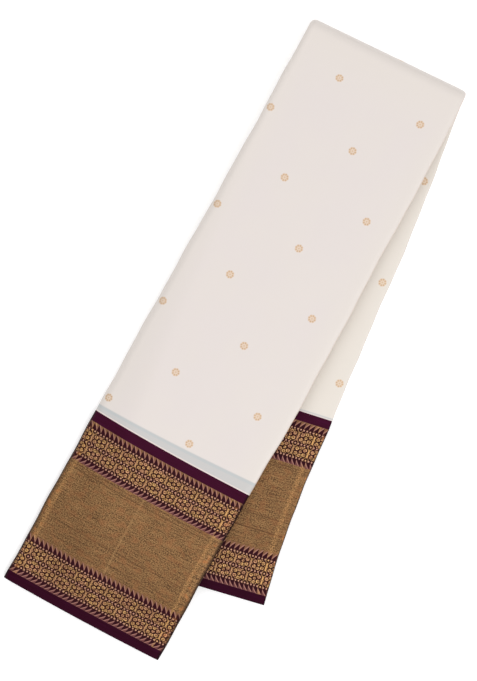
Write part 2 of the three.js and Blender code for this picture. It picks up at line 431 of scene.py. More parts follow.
# a stretch of the outer cloth, as a thin wall on its form
def clothShell(name, sections, material):
    points, cloth, edges = [], [], []
    for section in sections:
        outline, along, middle, edge = sleeveOutline(section)
        points.append(placed(section, outline[:, 0], outline[:, 1]))
        cloth.append(np.column_stack([along, np.full(len(along), section["clothDown"])]))
        edges.append(edge)
    columns, row = len(points[0]), len(sections) // 2
    faces = gridFaces(len(sections), columns, [(j, j + 1) for j in range(columns - 1)])
    points = np.vstack(points)
    a, b, c = (points[k] for k in faces[row * (columns - 1) + middle][:3])
    if np.dot(np.cross(b - a, c - a), sections[row]["normal"]) < 0:
        faces = [face[::-1] for face in faces]
    looks = np.zeros(len(faces))
    piece = meshObject(name, points, np.vstack(cloth), faces, looks, [material], np.concatenate(edges))
    thicken(piece, stack["shell"], -1.0, 45)
    return piece


# Materials

panelLight = 1.18  # how bright a white sheet looks on the stage
work = {"tree": None}  # the node tree that new nodes go to


# a colour as it looks on the stage, as the shader's own
def tint(*values):
    values = [value / 255 for value in values]
    linear = [v / 12.92 if v <= 0.04045 else ((v + 0.055) / 1.055) ** 2.4 for v in values]
    return (*[value / panelLight for value in linear], 1.0)


# gives a node's sockets their values, by name or number, or links them
def setInputs(node, inputs):
    for key, value in inputs.items():
        if isinstance(value, bpy.types.NodeSocket):
            work["tree"].links.new(value, node.inputs[key])
        else:
            node.inputs[key].default_value = value


def addNode(kind, settings, inputs):
    node = work["tree"].nodes.new(kind)
    for key, value in settings.items():
        setattr(node, key, value)
    setInputs(node, inputs)
    return node


def calc(operation, *values, clamp=False):
    settings = {"operation": operation, "use_clamp": clamp}
    return addNode("ShaderNodeMath", settings, dict(enumerate(values))).outputs[0]


# the same operation along a row of values, from the first one to the last
def chained(operation):
    def total(first, *others):
        for other in others:
            first = calc(operation, first, other)
        return first

    return total


plus, minus, times, divided = (chained(name) for name in ("ADD", "SUBTRACT", "MULTIPLY", "DIVIDE"))
most, least = chained("MAXIMUM"), chained("MINIMUM")


def absolute(value):
    return calc("ABSOLUTE", value)


# brings a value into the range round nought, as far as half a step to each side
def repeated(value, half):
    return calc("WRAP", value, half, times(half, -1.0) if isinstance(half, bpy.types.NodeSocket) else -half)


def lengthOf(x, y):
    return calc("SQRT", plus(times(x, x), times(y, y)))


# a soft step from one value to another
def ramp(value, low, high, toLow=0.0, toHigh=1.0):
    inputs = dict(enumerate((value, low, high, toLow, toHigh)))
    return addNode("ShaderNodeMapRange", {"interpolation_type": "SMOOTHSTEP"}, inputs).outputs[0]


def blend(share, first, second):
    return addNode("ShaderNodeMix", {"data_type": "RGBA"}, {0: share, 6: first, 7: second}).outputs[2]


# colours laid over one another, each where its mask says
def layered(colour, *layers):
    for mask, tone in layers:
        colour = blend(mask, colour, tone)
    return colour


def newGroup(name, inputs, outputs):
    tree = work["tree"] = bpy.data.node_groups.new(name, "ShaderNodeTree")
    for label, value in inputs.items():
        socket = tree.interface.new_socket(name=label, in_out="INPUT", socket_type="NodeSocketFloat")
        socket.default_value = value
    for label in outputs:
        tree.interface.new_socket(name=label, in_out="OUTPUT", socket_type="NodeSocketFloat")
    return tree, tree.nodes.new("NodeGroupInput").outputs[: len(inputs)], tree.nodes.new("NodeGroupOutput")


def useGroup(group, **inputs):
    return addNode("ShaderNodeGroup", {"node_tree": group}, inputs).outputs


def mapPlace(layer):
    uv = addNode("ShaderNodeUVMap", {"uv_map": layer}, {})
    return addNode("ShaderNodeSeparateXYZ", {}, {0: uv.outputs[0]}).outputs


# across and down on the cloth, in millimetres
def clothPlace():
    return [times(value, 1000.0) for value in mapPlace("cloth")[:2]]


# the cloth's long edges: painted shade towards their outermost, where the cloth rolls away from the light,
# and scattered painted orange highlights just inside
def makeLongEdge():
    inputs = {"Edge": 0.0, "Start": 0.5, "Weight": 0.9, "Patch": 0.0}
    tree, (edge, start, weight, patch), made = newGroup("longEdge", inputs, ["PaintedShade", "PaintedGlint"])
    strip = times(ramp(edge, 0.02, 0.2), ramp(edge, 0.75, 0.45))
    setInputs(made, {
        "PaintedShade": ramp(edge, start, 1.0, 0.0, weight),
        "PaintedGlint": times(strip, ramp(patch, 0.5, 0.7, 0.0, 0.45)),
    })
    return tree


def useLongEdge(start, weight, patch=0.0):
    return useGroup(longEdgeGroup, Edge=mapPlace("edge")[0], Start=start, Weight=weight, Patch=patch)


# two lines down the cloth, near its long edges, where the gold catches the light
glintPlaces = {"Left": 7.0, "LeftBreadth": 3.0, "Right": 164.0, "RightBreadth": 2.3}


def makeGlint():
    inputs = {"Across": 0.0, "Speckle": 0.5, **glintPlaces}
    tree, (across, speckle, *places), made = newGroup("glint", inputs, ["Glint"])
    lines = [
        ramp(absolute(minus(across, place)), breadth, times(breadth, 0.4))
        for place, breadth in (places[:2], places[2:])
    ]
    setInputs(made, {"Glint": times(most(*lines), ramp(speckle, 0.38, 0.62, 0.05, 1.0))})
    return tree


# a single line is given to both sides
def useGlint(across, weave, lines):
    places = dict(zip(glintPlaces, (*lines[0], *lines[-1])))
    return useGroup(glintGroup, Across=across, Speckle=weave["Speckle"], **places)["Glint"]


# a round flower: a middle and a ring of round petals with thin gaps between them
def makeRosette():
    sizes = {"X": 0.0, "Y": 0.0, "Petals": 8.0, "Ring": 4.6, "Petal": 1.9, "Middle": 1.6, "Gap": 0.3}
    tree, given, made = newGroup("rosette", sizes, ["Flower", "Eyes", "Reach"])
    x, y, petals, ring, petal, middle, gap = given
    half = divided(math.pi, petals)
    folded = repeated(calc("ARCTAN2", y, x), half)
    reach = lengthOf(x, y)
    distance = lengthOf(minus(times(reach, calc("COSINE", folded)), ring), times(reach, calc("SINE", folded)))
    fromGap = times(reach, calc("SINE", minus(half, absolute(folded))))
    petalMask = times(ramp(distance, petal, times(petal, 0.75)), ramp(fromGap, times(gap, 0.4), gap))
    setInputs(made, {
        "Flower": most(petalMask, ramp(reach, middle, times(middle, 0.65))),
        "Eyes": ramp(distance, times(petal, 0.42), times(petal, 0.15)),
        "Reach": reach,
    })
    return tree


# a row of slanted teeth: their base on one line and their tips a tooth's height away
def makeToothRow():
    inputs = {"Across": 0.0, "Rise": 0.0, "Pitch": 5.1}
    tree, (across, rise, pitch), made = newGroup("toothRow", inputs, ["Tooth", "Sliver"])
    place = calc("FRACT", divided(across, pitch))
    over = minus(0.98, calc("POWER", most(rise, 0.0), 1.25), place)
    low = ramp(rise, -0.06, 0.02)
    sliver = times(ramp(over, -0.34, -0.2), ramp(over, 0.0, -0.1))  # a light thread beside the slanted side
    setInputs(made, {
        "Tooth": times(ramp(over, -0.05, 0.06), low, ramp(place, 0.0, 0.05), ramp(rise, 1.02, 0.94)),
        "Sliver": times(sliver, low, ramp(rise, 1.15, 0.8)),
    })
    return tree


flowerLayout = {
    "cell": 17.15,  # across, from stem to stem
    "row": 13.7,  # down, from flower to flower
    "first": 15.3,  # the first row's middle
    "top": 8.45,
    "bottom": 35.85,
    "tooth": 6.9,  # a tooth's height
    # middles and half sizes of a flower's middle and its petals, in one quarter of it
    "ovals": [((0.0, 0.0), (1.7, 1.5)), ((0.0, 3.7), (2.2, 1.75)), ((4.35, 2.35), (2.25, 1.95))],
    # small fillers between a flower and the dots, and beside it
    "fillers": [((2.7, 5.0), (0.8, 0.65)), ((6.9, 0.0), (0.45, 0.7))],
}


# how far from the middle of an oval a place is, 1 at its rim
def ovalDistance(x, y, place, size):
    return lengthOf(divided(minus(x, place[0]), size[0]), divided(minus(y, place[1]), size[1]))


# the border's flower band: teeth, two rows of flowers between stems, teeth
def makeFlowerBand(toothRow):
    inputs = {"Across": 0.0, "Down": 0.0, "Phase": 0.0, "Teeth": 0.0, "Pitch": 5.1, "Lean": 1.0}
    outputs = ["Gold", "Field", "Tooth", "Sliver", "Bright", "Dots", "Tip", "Low"]
    tree, (across, down, phase, teeth, pitch, lean), made = newGroup("flowerBand", inputs, outputs)
    form = flowerLayout
    cell, row, top, bottom = (form[k] for k in ("cell", "row", "top", "bottom"))
    shifted = minus(across, phase)
    x = absolute(repeated(minus(shifted, cell / 2), cell / 2))
    y = absolute(repeated(minus(down, form["first"]), row / 2))
    first, second, third = (ovalDistance(x, y, *oval) for oval in form["ovals"])
    lesser, greater = least(first, second), most(first, second)
    nearest, following = least(lesser, third), most(lesser, least(greater, third))
    flower = times(ramp(nearest, 1.05, 0.78), ramp(minus(following, nearest), 0.12, 0.36))
    eyes = ramp(nearest, 0.55, 0.15)
    # stems between the flowers, with a ring and a dot where four flowers meet
    offStem = absolute(repeated(shifted, cell / 2))
    fromLine = minus(row / 2, y)
    offRing = absolute(minus(lengthOf(times(offStem, 1.05), times(fromLine, 0.9)), 2.75))
    stem = times(ramp(offStem, 1.2, 0.75), ramp(fromLine, 2.6, 3.1))
    stem = most(stem, ramp(offRing, 0.65, 0.3, 0.0, 0.65))
    # rows of dots along the lines between the rows
    dots = ramp(lengthOf(repeated(shifted, cell / 10), fromLine), 1.15, 0.65)
    fillers = [ramp(ovalDistance(x, y, *oval), 1.05, 0.72) for oval in form["fillers"]]
    gold = calc("SUBTRACT", most(flower, stem, dots, *fillers), times(eyes, 0.5), clamp=True)
    inside = times(ramp(down, top - 1.2, top - 1.0), ramp(down, bottom + 1.2, bottom + 1.0))
    # teeth above and below, their bases on the dotted lines
    upRise = divided(minus(top - 1.1, down), form["tooth"])
    downRise = divided(minus(down, bottom + 1.1), form["tooth"] - 0.6)
    toothAcross = minus(across, teeth)
    leaning = plus(toothAcross, times(downRise, lean))
    upTeeth = useGroup(toothRow, Across=toothAcross, Rise=upRise, Pitch=pitch)
    downTeeth = useGroup(toothRow, Across=leaning, Rise=downRise, Pitch=pitch)
    setInputs(made, {
        "Gold": times(gold, inside),
        "Field": inside,
        "Tooth": most(upTeeth[0], downTeeth[0]),
        "Sliver": most(upTeeth[1], downTeeth[1]),
        "Bright": times(stem, inside),
        "Dots": times(dots, inside),
        "Tip": ramp(upRise, 0.25, 0.95),
        "Low": ramp(downRise, 0.0, 0.1),
    })
    return tree


# fine crossing threads, as a height, and slubs, clouds, speckles and patches, as values
def makeWeave():
    scales = {"Slub": (0.05, 1.6), "Cloud": (0.02, 0.02), "Speckle": (0.75, 1.1), "Patch": (0.12, 0.16)}
    inputs = {"Across": 0.0, "Down": 0.0, "Pitch": 0.5}
    tree, (across, down, pitch), made = newGroup("weave", inputs, ["Height", *scales])
    waves = [times(calc("SINE", divided(times(value, 2 * math.pi), pitch)), 0.25) for value in (across, down)]
    results = {"Height": plus(*waves, 0.5)}
    for label, (acrossScale, downScale) in scales.items():
        scaled = {0: times(across, acrossScale), 1: times(down, downScale)}
        place = addNode("ShaderNodeCombineXYZ", {}, scaled).outputs[0]
        settings = {"Vector": place, "Scale": 1.0, "Detail": 2.0}
        results[label] = addNode("ShaderNodeTexNoise", {}, settings).outputs[0]
    setInputs(made, results)
    return tree


rosetteGroup = makeRosette()
flowerGroup = makeFlowerBand(makeToothRow())
weaveGroup = makeWeave()
longEdgeGroup = makeLongEdge()
glintGroup = makeGlint()


def startMaterial(name, settings):
    material = bpy.data.materials.new(name)
    material.use_nodes = True
    work["tree"] = material.node_tree
    shader = material.node_tree.nodes["Principled BSDF"]
    setInputs(shader, settings)
    return material, shader


def bumped(height, distance):
    inputs = {"Height": height, "Distance": distance * mm, "Strength": 1.0}
    return addNode("ShaderNodeBump", {}, inputs).outputs[0]


silkLook = {
    "cloth": tint(228, 219, 215),
    # the lower leg's silk: the same cloth, painted lighter and warmer to lift the shade that the upper leg
    # casts on it
    "lower": tint(232, 224, 214),
    "warm": tint(230, 222, 213),
    "thin": tint(197, 196, 195),
    "thinEdge": tint(186, 194, 196),
    "joinLine": tint(232, 214, 208),
    "flowerGround": tint(230, 202, 172),
    "flower": tint(206, 162, 110),
    "flowerEdge": tint(164, 122, 84),
    # the two below are painted shade on the long edges' roll, the second warmed as painted bounced light
    "edge": tint(196, 192, 182),
    "warmEdgeShade": tint(206, 176, 150),
}
silkRosette = {"Petals": 8.0, "Ring": 2.95, "Petal": 1.4, "Middle": 1.15, "Gap": 0.22}
# Where the silk's flowers stand, its join to the border, and how far the cloth is thin before it
upperSilk = {
    "cloth": "cloth",
    "first": (52.1, 43.1),
    "pitch": (46.4, 55.4),
    "join": 448.4,
    "thin": (7.0, 13.0),  # at the left and at the right
    "breadth": 175.0,
    # at the left, near the fold, the weave lies higher: where that fades in, and by how much
    "pull": {"down": (88.0, 46.0), "across": (120.0, 70.0), "reach": 4.6},
}
lowerSilk = {
    # its silk colour is lightened as painted light against the upper leg's shade
    "cloth": "lower",
    "first": (-170.2, 89.5),
    "pitch": (47.2, 54.4),
    "join": 345.1,
    "thin": (1.0, 2.0),
    "breadth": -175.0,  # its outer side is the cloth's other face
    "pull": None,
}


# white silk with small gold flowers, see-through just above the border
def makeSilk(name, plan):
    settings = {"Roughness": 0.48, "Specular IOR Level": 0.35, "Sheen Weight": 0.25, "Sheen Roughness": 0.4}
    material, shader = startMaterial(name, settings)
    across, down = clothPlace()
    weave = useGroup(weaveGroup, Across=across, Down=down, Pitch=0.45)
    side = divided(across, plan["breadth"])
    # edge: the colour of the painted shade at the long edges
    drawn, edge, pull = down, silkLook["edge"], plan["pull"]
    if pull:
        pulled = times(ramp(down, *pull["down"]), ramp(across, *pull["across"], 0.0, pull["reach"]))
        drawn = plus(down, pulled)
        # on the upper leg the painted edge shade turns warm towards the right side
        edge = blend(ramp(side, 0.4, 0.8), silkLook["edge"], silkLook["warmEdgeShade"])
    # two crossed lattices make the flowers stand in staggered rows
    flowers = []
    for shift in (0, 1):
        x, y = (
            repeated(minus(value, start + shift * step), step)
            for value, start, step in zip((across, drawn), plan["first"], plan["pitch"])
        )
        flowers.append(useGroup(rosetteGroup, X=x, Y=y, **silkRosette))
    petals, eyes = (most(*[flower[key] for flower in flowers]) for key in ("Flower", "Eyes"))
    disc = most(*[ramp(flower["Reach"], 4.7, 3.3) for flower in flowers])
    # the silk is a little warmer towards the fold and its long edges
    toSide = ramp(absolute(minus(side, 0.5)), 0.3, 0.5)
    warmth = most(times(ramp(weave["Cloud"], 0.35, 0.65), 0.5), toSide, ramp(down, 75.0, 5.0))
    # the see-through band above the join widens to the right
    toJoin = minus(plan["join"], down)
    thinLeft, thinRight = plan["thin"]
    off = minus(toJoin, plus(thinLeft, times(side, thinRight - thinLeft)))
    colour = layered(
        silkLook[plan["cloth"]],
        (times(warmth, 0.5), silkLook["warm"]),
        (times(ramp(off, 1.4, -0.8), ramp(toJoin, 0.9, 1.5), 0.85), silkLook["thin"]),
        (times(ramp(off, 0.6, -0.6), ramp(off, -3.4, -2.2), 0.5), silkLook["thinEdge"]),
        (times(ramp(toJoin, 1.5, 0.7), 0.7), silkLook["joinLine"]),
        (times(disc, 0.55), silkLook["flowerGround"]),
        (times(petals, 0.5), silkLook["flower"]),
        (times(eyes, 0.6), silkLook["flowerEdge"]),
        # painted shade on the long edges' roll
        (useLongEdge(0.8, 0.4)["PaintedShade"], edge),
    )
    height = plus(times(weave["Height"], 0.12), times(petals, 0.5), times(weave["Slub"], 0.25))
    setInputs(shader, {"Base Color": colour, "Metallic": times(petals, 0.35), "Normal": bumped(height, 0.12)})
    return material


maroonLook = {
    "strip": (tint(57, 8, 31), tint(66, 10, 44)),
    "selvedge": (tint(44, 2, 21), tint(53, 4, 33)),
    # painted shade where the cloth rolls away at its long edges
    "edge": tint(26, 10, 12),
}


# maroon silk in two close tones
def makeMaroon(name, tones):
    material, shader = startMaterial(name, {"Roughness": 0.5, "Specular IOR Level": 0.04})
    across, down = clothPlace()
    weave = useGroup(weaveGroup, Across=across, Down=down, Pitch=0.5)
    colour = blend(ramp(weave["Slub"], 0.3, 0.75), *tones)
    # painted shade at the long edges' roll
    colour = blend(useLongEdge(0.5, 0.8)["PaintedShade"], colour, maroonLook["edge"])
    setInputs(shader, {"Base Color": colour, "Normal": bumped(weave["Height"], 0.08)})
    return material


flowerLook = {
    "ground": tint(43, 4, 10),
    "gold": tint(236, 186, 122),
    "goldPink": tint(228, 168, 130),
    "goldDim": tint(150, 104, 72),
    "goldDeep": tint(98, 64, 40),
    "stem": tint(176, 132, 92),
    "dots": tint(196, 146, 128),
    "toothGround": tint(124, 78, 60),
    "toothTip": tint(130, 92, 63),
    "mauve": tint(110, 66, 64),
    "sliver": tint(182, 132, 118),
    "tooth": tint(48, 6, 18),
    "glint": tint(222, 170, 106),
    # the two below: painted orange highlights just inside the long edges, and painted shade at their
    # outermost
    "paintedEdgeGlint": tint(198, 128, 72),
    "edge": tint(26, 10, 12),
    "uneven": 0.42,  # how coarse the change from petal to petal is
}


# maroon silk with the flower band woven in bronze gold thread
def makeFlowers(name, phase, teeth, widen, glintLines):
    look = flowerLook
    material, shader = startMaterial(name, {"Specular IOR Level": 0.08})
    across, down = clothPlace()
    places = dict(zip(("Phase", "Teeth", "Pitch", "Lean"), (phase, *teeth)))
    band = useGroup(flowerGroup, Across=times(across, widen), Down=down, **places)
    weave = useGroup(weaveGroup, Across=across, Down=down, Pitch=0.7)
    coarse = [times(value, look["uneven"]) for value in (across, down)]
    uneven = useGroup(weaveGroup, Across=coarse[0], Down=coarse[1], Pitch=1.0)
    glint = useGlint(across, weave, glintLines)
    longEdge = useLongEdge(0.5, 0.92, weave["Patch"])
    gold = layered(
        look["gold"],
        (ramp(weave["Patch"], 0.42, 0.6), look["goldPink"]),
        (ramp(uneven["Speckle"], 0.56, 0.4, 0.0, 0.6), look["goldDim"]),
        (ramp(weave["Speckle"], 0.36, 0.62, 1.0, 0.0), look["goldDeep"]),
        (times(band["Bright"], 0.45), look["stem"]),
        (times(band["Dots"], 0.75), look["dots"]),
        (glint, look["glint"]),
    )
    teethColour = layered(
        look["toothGround"],
        (band["Tip"], look["toothTip"]),
        (band["Low"], look["mauve"]),
        (times(band["Sliver"], 0.75), look["sliver"]),
        (times(glint, 0.5), look["glint"]),
        (band["Tooth"], look["tooth"]),
    )
    colour = layered(
        teethColour,
        (band["Field"], blend(band["Gold"], look["ground"], gold)),
        # painted orange highlights just inside the long edges, and painted shade at their outermost
        (longEdge["PaintedGlint"], look["paintedEdgeGlint"]),
        (longEdge["PaintedShade"], look["edge"]),
    )
    # the gold thread, in the flowers and between the teeth
    thread = times(minus(1.0, band["Field"]), minus(1.0, band["Tooth"]), 0.6)
    zari = calc("ADD", band["Gold"], thread, clamp=True)
    setInputs(shader, {
        "Base Color": colour,
        "Metallic": times(zari, 0.45),
        "Roughness": ramp(zari, 0.0, 1.0, 0.6, 0.45),
        "Normal": bumped(plus(zari, times(weave["Height"], 0.3)), 0.18),
    })
    return material


tissueLook = {
    "gold": tint(165, 125, 81),
    "deep": tint(74, 49, 30),
    "warm": tint(154, 100, 62),
    "line": tint(80, 52, 32),
    "bright": tint(176, 136, 90),
    # painted highlight along the pressed crease
    "glint": tint(200, 150, 94),
    "edge": tint(46, 30, 22),
    # painted shade where the cloth rolls away at its long edges
    "rib": 1.15,  # from rib to rib
    "dusk": (15.0, 80.0),  # it darkens from here to here, down the field
}
# Darker woven lines: down, breadth and weight
upperLines = [(3.0, 0.8, 0.5), (7.0, 0.8, 0.6), (61.0, 0.8, 0.5), (76.0, 0.8, 0.4)]
lowerLines = [(3.5, 0.8, 0.7), (6.0, 0.7, 0.55), (58.0, 0.8, 0.6), (72.0, 0.9, 0.7)]


# gold tissue: fine ribs across, a few darker woven lines, one pressed crease with a painted highlight along
# it, painted shade and highlights at the long edges, darker lower down
def makeTissue(name, lines, creaseAcross, glintLines, dusk):
    look = tissueLook
    material, shader = startMaterial(name, {"Specular IOR Level": 0.15})
    across, down = clothPlace()
    weave = useGroup(weaveGroup, Across=across, Down=down, Pitch=0.6)
    rib = calc("SINE", times(down, 2 * math.pi / look["rib"]))
    grain = plus(times(weave["Speckle"], 1.6), times(weave["Slub"], 0.9))
    share = calc("ADD", ramp(grain, 0.98, 1.5), times(rib, 0.12), clamp=True)
    marks = most(*[
        times(ramp(absolute(minus(down, place)), breadth, breadth * 0.3), weight)
        for place, breadth, weight in lines
    ])
    creaseHighlight = ramp(absolute(minus(across, creaseAcross)), 1.7, 0.2)
    longEdge = useLongEdge(0.5, 0.9, weave["Patch"])
    colour = layered(
        look["deep"],
        (share, look["gold"]),
        (times(ramp(weave["Patch"], 0.45, 0.7), 0.4), look["warm"]),
        (ramp(down, *look["dusk"], *dusk), look["line"]),
        (times(marks, ramp(weave["Slub"], 0.3, 0.6, 0.5, 1.0)), look["line"]),
        (times(creaseHighlight, ramp(weave["Speckle"], 0.3, 0.7, 0.1, 0.6)), look["bright"]),
        (times(useGlint(across, weave, glintLines), 0.5), look["glint"]),
        # painted orange highlights just inside the long edges, and painted shade at their outermost
        (longEdge["PaintedGlint"], flowerLook["paintedEdgeGlint"]),
        (longEdge["PaintedShade"], look["edge"]),
    )
    setInputs(shader, {
        "Base Color": colour,
        "Metallic": ramp(share, 0.0, 1.0, 0.35, 0.5),
        "Roughness": ramp(share, 0.0, 1.0, 0.55, 0.42),
        "Normal": bumped(plus(times(rib, 0.3), weave["Speckle"]), 0.12),
    })
    return material


# silk or woven gold as it looks at the layers' edges
def makeLayerEdges(name, pale, deep):
    settings = {"Roughness": 0.55, "Specular IOR Level": 0.3, "Sheen Weight": 0.2}
    material, shader = startMaterial(name, settings)
    across, down = clothPlace()
    weave = useGroup(weaveGroup, Across=across, Down=down, Pitch=0.45)
    colour = blend(ramp(weave["Slub"], 0.3, 0.7), pale, deep)
    setInputs(shader, {"Base Color": colour, "Normal": bumped(weave["Height"], 0.08)})
    return material


# The bright lines near the long edges: across and breadth
upperGlints = [(7.0, 3.0), (164.0, 2.3)]
lowerGlints = [(-168.5, 3.0)]
upperMaterials = {
    "silk": makeSilk("upperSilk", upperSilk),
    "maroon": makeMaroon("maroonSilk", maroonLook["strip"]),
    "selvedge": makeMaroon("maroonSelvedge", maroonLook["selvedge"]),
    "inner_flower_band": makeFlowers("innerFlowers", 10.3, (0.8, 5.095, 0.3), 1.002, upperGlints),
    "outer_flower_band": makeFlowers("outerFlowers", 10.8, (0.0, 5.15, 1.0), 1.0, upperGlints),
    "tissue": makeTissue("upperTissue", upperLines, 85.5, upperGlints, (0.0, 0.12)),
}
lowerMaterials = {
    "silk": makeSilk("lowerSilk", lowerSilk),
    "maroon": upperMaterials["maroon"],
    "selvedge": upperMaterials["selvedge"],
    "inner_flower_band": makeFlowers("lowerInnerFlowers", 9.4, (0.0, 5.15, 0.3), 1.062, lowerGlints),
    "outer_flower_band": makeFlowers("lowerOuterFlowers", 9.65, (-0.9, 5.17, 0.6), 1.062, lowerGlints),
    "tissue": makeTissue("lowerTissue", lowerLines, -92.0, lowerGlints, (0.1, 0.14)),
}
layerMaterials = {
    "silk": makeLayerEdges("silkLayers", silkLook["cloth"], silkLook["warm"]),
    "maroon": makeMaroon("maroonLayers", maroonLook["selvedge"]),
    "flowers": makeLayerEdges("flowerLayers", tint(96, 62, 50), tint(60, 24, 38)),
    "tissue": makeLayerEdges("tissueLayers", tint(138, 100, 68), tint(98, 68, 46)),
}
print("materials made")

# The outer cloth, stretch by stretch


def dress(piece, node, area):
    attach(piece, "root")
    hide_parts(node)


def roundLength(section):
    along = sleeveOutline(section)[1]
    return (along[-1] - along[0]) * mm


# how long a stretch is down its middle, at least the smallest sheet side
def lengthDown(sections):
    middles = [s["corner"] + s["direction"] * s["width"] / 2 for s in sections]
    length = sum(float(np.linalg.norm(b - a)) for a, b in zip(middles, middles[1:]))
    return max(length, 10.0) * mm


def stretchesOf(leg):
    down = foldLine["down"] + foldLine["reach"]
    found = []
    for row in stretchTable:
        end = down + row[leg["name"]]
        # the silk is woven on from the fold, and each other stretch from its own start
        cloth = (down, end) if row["finish"] == "silk" else row.get("woven", (0.0, end - down))
        found.append({**row, "sections": legSections(leg, down, end, *cloth), "end": end})
        down = end
    return found


for leg, materials in ((upperLeg, upperMaterials), (lowerLeg, lowerMaterials)):
    for stretch in stretchesOf(leg):
        node = leg["name"] + "_" + stretch["name"]
        material = materials.get(stretch["name"]) or materials[stretch["finish"]]
        piece = clothShell(node + "_cloth", stretch["sections"], material)
        area = (roundLength(stretch["sections"][0]), lengthDown(stretch["sections"]))
        dress(piece, node, area)

foldStart, foldReach = foldLine["down"], foldLine["reach"]
foldTurn = [foldSection(math.pi * i / foldLine["steps"]) for i in range(foldLine["steps"] + 1)]
turned = foldTurn[-1]["clothDown"]
foldSections = [
    *legSections(upperLeg, foldStart + foldReach, foldStart, foldStart + foldReach, foldStart)[:-1],
    *foldTurn,
    *legSections(lowerLeg, foldStart, foldStart + foldReach, turned, turned - foldReach)[1:],
]
foldPiece = clothShell("top_fold_cloth", foldSections, upperMaterials["silk"])
foldLength = 2 * foldReach + math.pi * stack["legHeight"] / 2
dress(foldPiece, "top_fold", (roundLength(foldSections[0]), foldLength * mm))
print("outer cloth made")


# The hidden layers: one rounded body, dressed like the stretch it lies in


# a leg's sections with their finishes, as far as the single layers of the cut end
def coreRows(leg):
    rows = [(section, stretch["finish"]) for stretch in stretchesOf(leg) for section in stretch["sections"]]
    limit = rows[-1][0]["down"] - coreForm["short"]
    return [row for row in rows if row[0]["down"] <= limit]


def coreBody():
    foldRows = [(section, "silk") for section in foldSections[1:-1]]
    rows = [*reversed(coreRows(upperLeg)), *foldRows, *coreRows(lowerLeg)]
    points, cloth = [], []
    for section, finish in rows:
        outline = coreOutline(section)
        points.append(placed(section, outline[:, 0], outline[:, 1]))
        cloth.append(np.column_stack([outline[:, 0], np.full(len(outline), section["clothDown"])]))
    columns = len(points[0])
    faces = gridFaces(len(rows), columns, [(j, (j + 1) % columns) for j in range(columns)])
    order = list(layerMaterials)
    looks = []
    for i in range(len(rows) - 1):
        finish = rows[i + 1 if i < len(rows) // 2 else i][1]
        looks += [order.index(finish)] * columns
    # the two ends
    faces += [tuple(reversed(range(columns))), tuple((len(rows) - 1) * columns + j for j in range(columns))]
    looks += [order.index("maroon")] * 2
    materials = list(layerMaterials.values())
    piece = meshObject("hiddenLayers", np.vstack(points), np.vstack(cloth), faces, looks, materials)
    choose(piece)
    bpy.ops.object.mode_set(mode="EDIT")
    bpy.ops.mesh.select_all(action="SELECT")
    bpy.ops.mesh.remove_doubles(threshold=1e-6)
    bpy.ops.mesh.normals_make_consistent(inside=False)
    bpy.ops.object.mode_set(mode="OBJECT")
    bpy.ops.object.shade_smooth_by_angle(angle=math.radians(50))
    return piece


core = coreBody()
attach(core, "root")
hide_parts("inner_layers")
print("hidden layers made")

# The cut ends, where every single layer shows
endPlies = {
    "length": 21.0,
    "clothEnd": 8.0,  # the selvedge's own place where it is cut
    "clothLength": 5300.0,  # the whole ribbon, laid out
    "thickness": 0.24,
    "points": 24,  # across one layer
    "turn": 7,  # round one turn
    "stations": [1.0, 0.7, 0.45, 0.2, 0.08, 0.0],  # rows up from the cut, as shares of the length
    "woven": 2,  # so many rows are flower band, and the others selvedge
}
# the layers in their order along the cloth, from one loose edge to the other
layerPath = [
    20, 11, 4, 27, 28, 3, 12, 19, 16, 15, 0, 31, 24, 7, 8, 23,
    22, 9, 6, 25, 30, 1, 14, 17, 18, 13, 2, 29, 26, 5, 10, 21,
]
# how far each layer's cut edge stands back from the farthest one
plyBack = np.array([
    0.0, 0.5, 0.9, 0.2, 1.1, 0.6, 1.6, 0.9, 0.3, 1.2, 1.9, 0.7, 1.4, 2.1, 0.4, 1.0,
    1.7, 0.6, 2.3, 1.2, 0.8, 1.5, 0.2, 1.0, 1.8, 0.5, 1.3, 0.7, 2.0, 1.1, 0.4, 0.0,
])
# the folds at the right: first and last layer, how far their turn reaches and stands back
bundles = [
    (0, 15, None, 0.0),  # reaches as far as the outer cloth does
    (16, 19, 1.4, 1.2),
    (20, 20, 0.0, 2.2),
    (21, 21, 0.0, 3.2),
    (22, 23, 0.8, 1.8),
    (24, 31, edgeRoll["small"], 0.0),
]


# the path of the single layers through one cross line: places with their layer, None for a gap
def plyRibbon(section):
    full, width, last = stack["legHeight"], section["width"], stack["plies"] - 1
    spineRoll, bundleRoll = rollsOf(section)
    heights = [full - full / stack["plies"] * (ply + 0.5) for ply in range(stack["plies"])]
    path = []
    for k, ply in enumerate(layerPath):
        if ply in (0, last):
            path.append(None)  # the outer cloth is here
            continue
        goingRight = k % 2 == 1  # the path starts at the right, at a loose edge
        low, high, fullReach, back = next(b for b in bundles if b[0] <= ply <= b[1])
        fullReach = bundleRoll if fullReach is None else fullReach
        leftReach = spineRoll * abs(last - 2 * ply) / stack["plies"]
        rightReach = fullReach * abs(low + high - 2 * ply) / (high - low + 1)
        rightEnd = width - back - fullReach
        across = np.linspace(leftReach, rightEnd, endPlies["points"])
        path += [(x, heights[ply], ply) for x in (across if goingRight else across[::-1])]
        following = layerPath[k + 1] if k + 1 < len(layerPath) else last
        if following in (0, last):
            continue
        middle, half = (heights[following] + heights[ply]) / 2, (heights[following] - heights[ply]) / 2
        edge, reach = (rightEnd, rightReach) if goingRight else (leftReach, -leftReach)
        for i in range(1, endPlies["turn"]):
            angle = math.pi * i / endPlies["turn"]
            nearer = ply if i < endPlies["turn"] / 2 else following
            path.append((edge + reach * math.sin(angle), middle - half * math.cos(angle), nearer))
    return path


